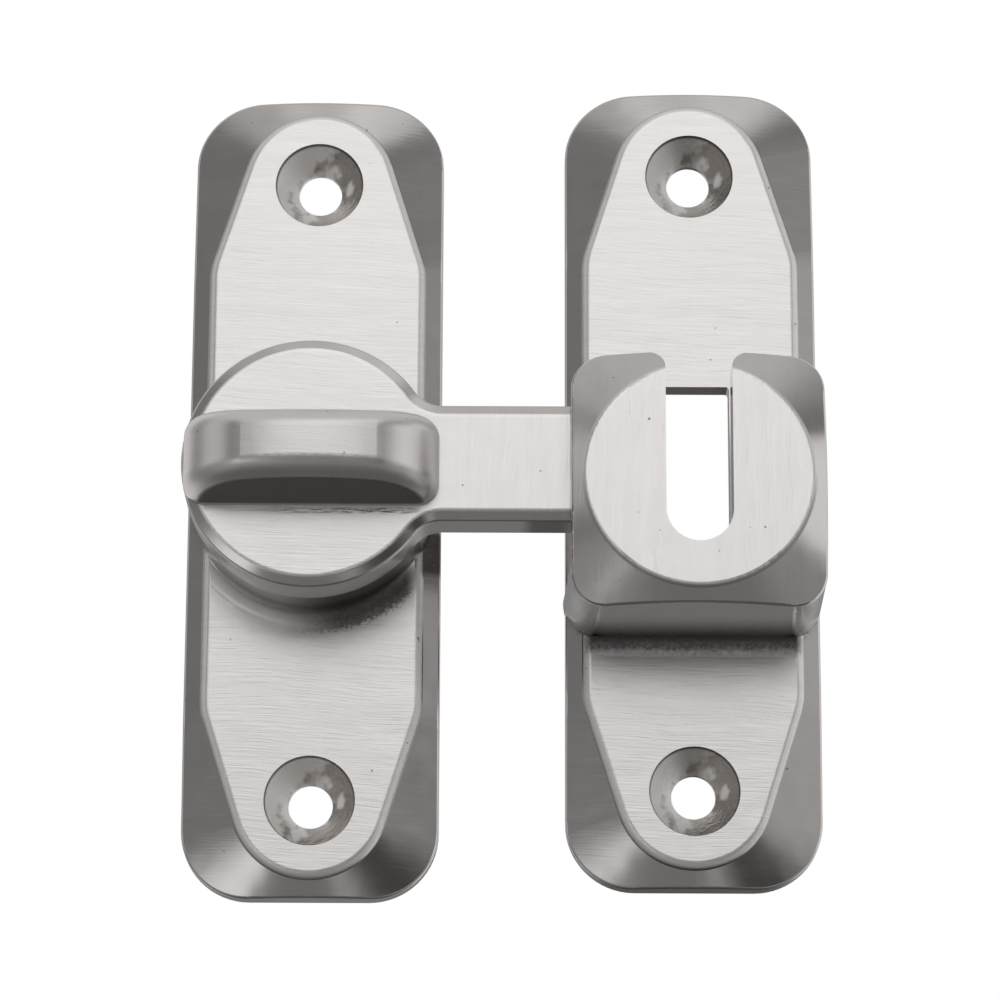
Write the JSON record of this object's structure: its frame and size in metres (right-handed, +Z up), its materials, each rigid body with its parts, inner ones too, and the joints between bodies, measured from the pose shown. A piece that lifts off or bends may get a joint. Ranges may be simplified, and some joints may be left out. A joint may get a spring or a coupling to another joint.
{
  "type": "toggle bolt latch",
  "caption": "Surface-mounted flip latch: a thumb-turn disc swings a flat arm into a hooked pocket on a separate keeper plate.",
  "frame": {"origin": "midway between the latch plate's two screw holes, on its back face", "axes": "+X from the latch plate to the keeper, along the locked arm; +Y into the door, away from the viewer; +Z up, along the plates"},
  "size_m": [0.0763, 0.0276, 0.1013],
  "materials": {
    "brushed_casting": "brushed nickel",
    "bush_brass": "satin",
    "washer_nylon": "matte",
    "zinc_steel": "zinc plated",
    "spring_steel": "dark spring steel"
  },
  "bodies": {
    "latch": {"latch_plate": "brushed_casting", "pivot_bush": "bush_brass", "stop_pin": "zinc_steel", "friction_washer": "washer_nylon"},
    "rotor": {"swing_arm": "brushed_casting", "pivot_screw": "zinc_steel", "retaining_washer": "zinc_steel", "disc_spring": "spring_steel"},
    "keeper": {"keeper_plate": "brushed_casting"}
  },
  "joints": [
    {"name": "arm_turn", "type": "hinge", "parent": "latch", "child": "rotor", "pos_m": [0, -0.012, -0.001], "axis": [0, -1, 0], "range_deg": [0, 90]},
    {"name": "keeper_slide", "type": "slide", "parent": "latch", "child": "keeper", "axis": [1, 0, 0], "range_m": [0, 0.06]}
  ]
}
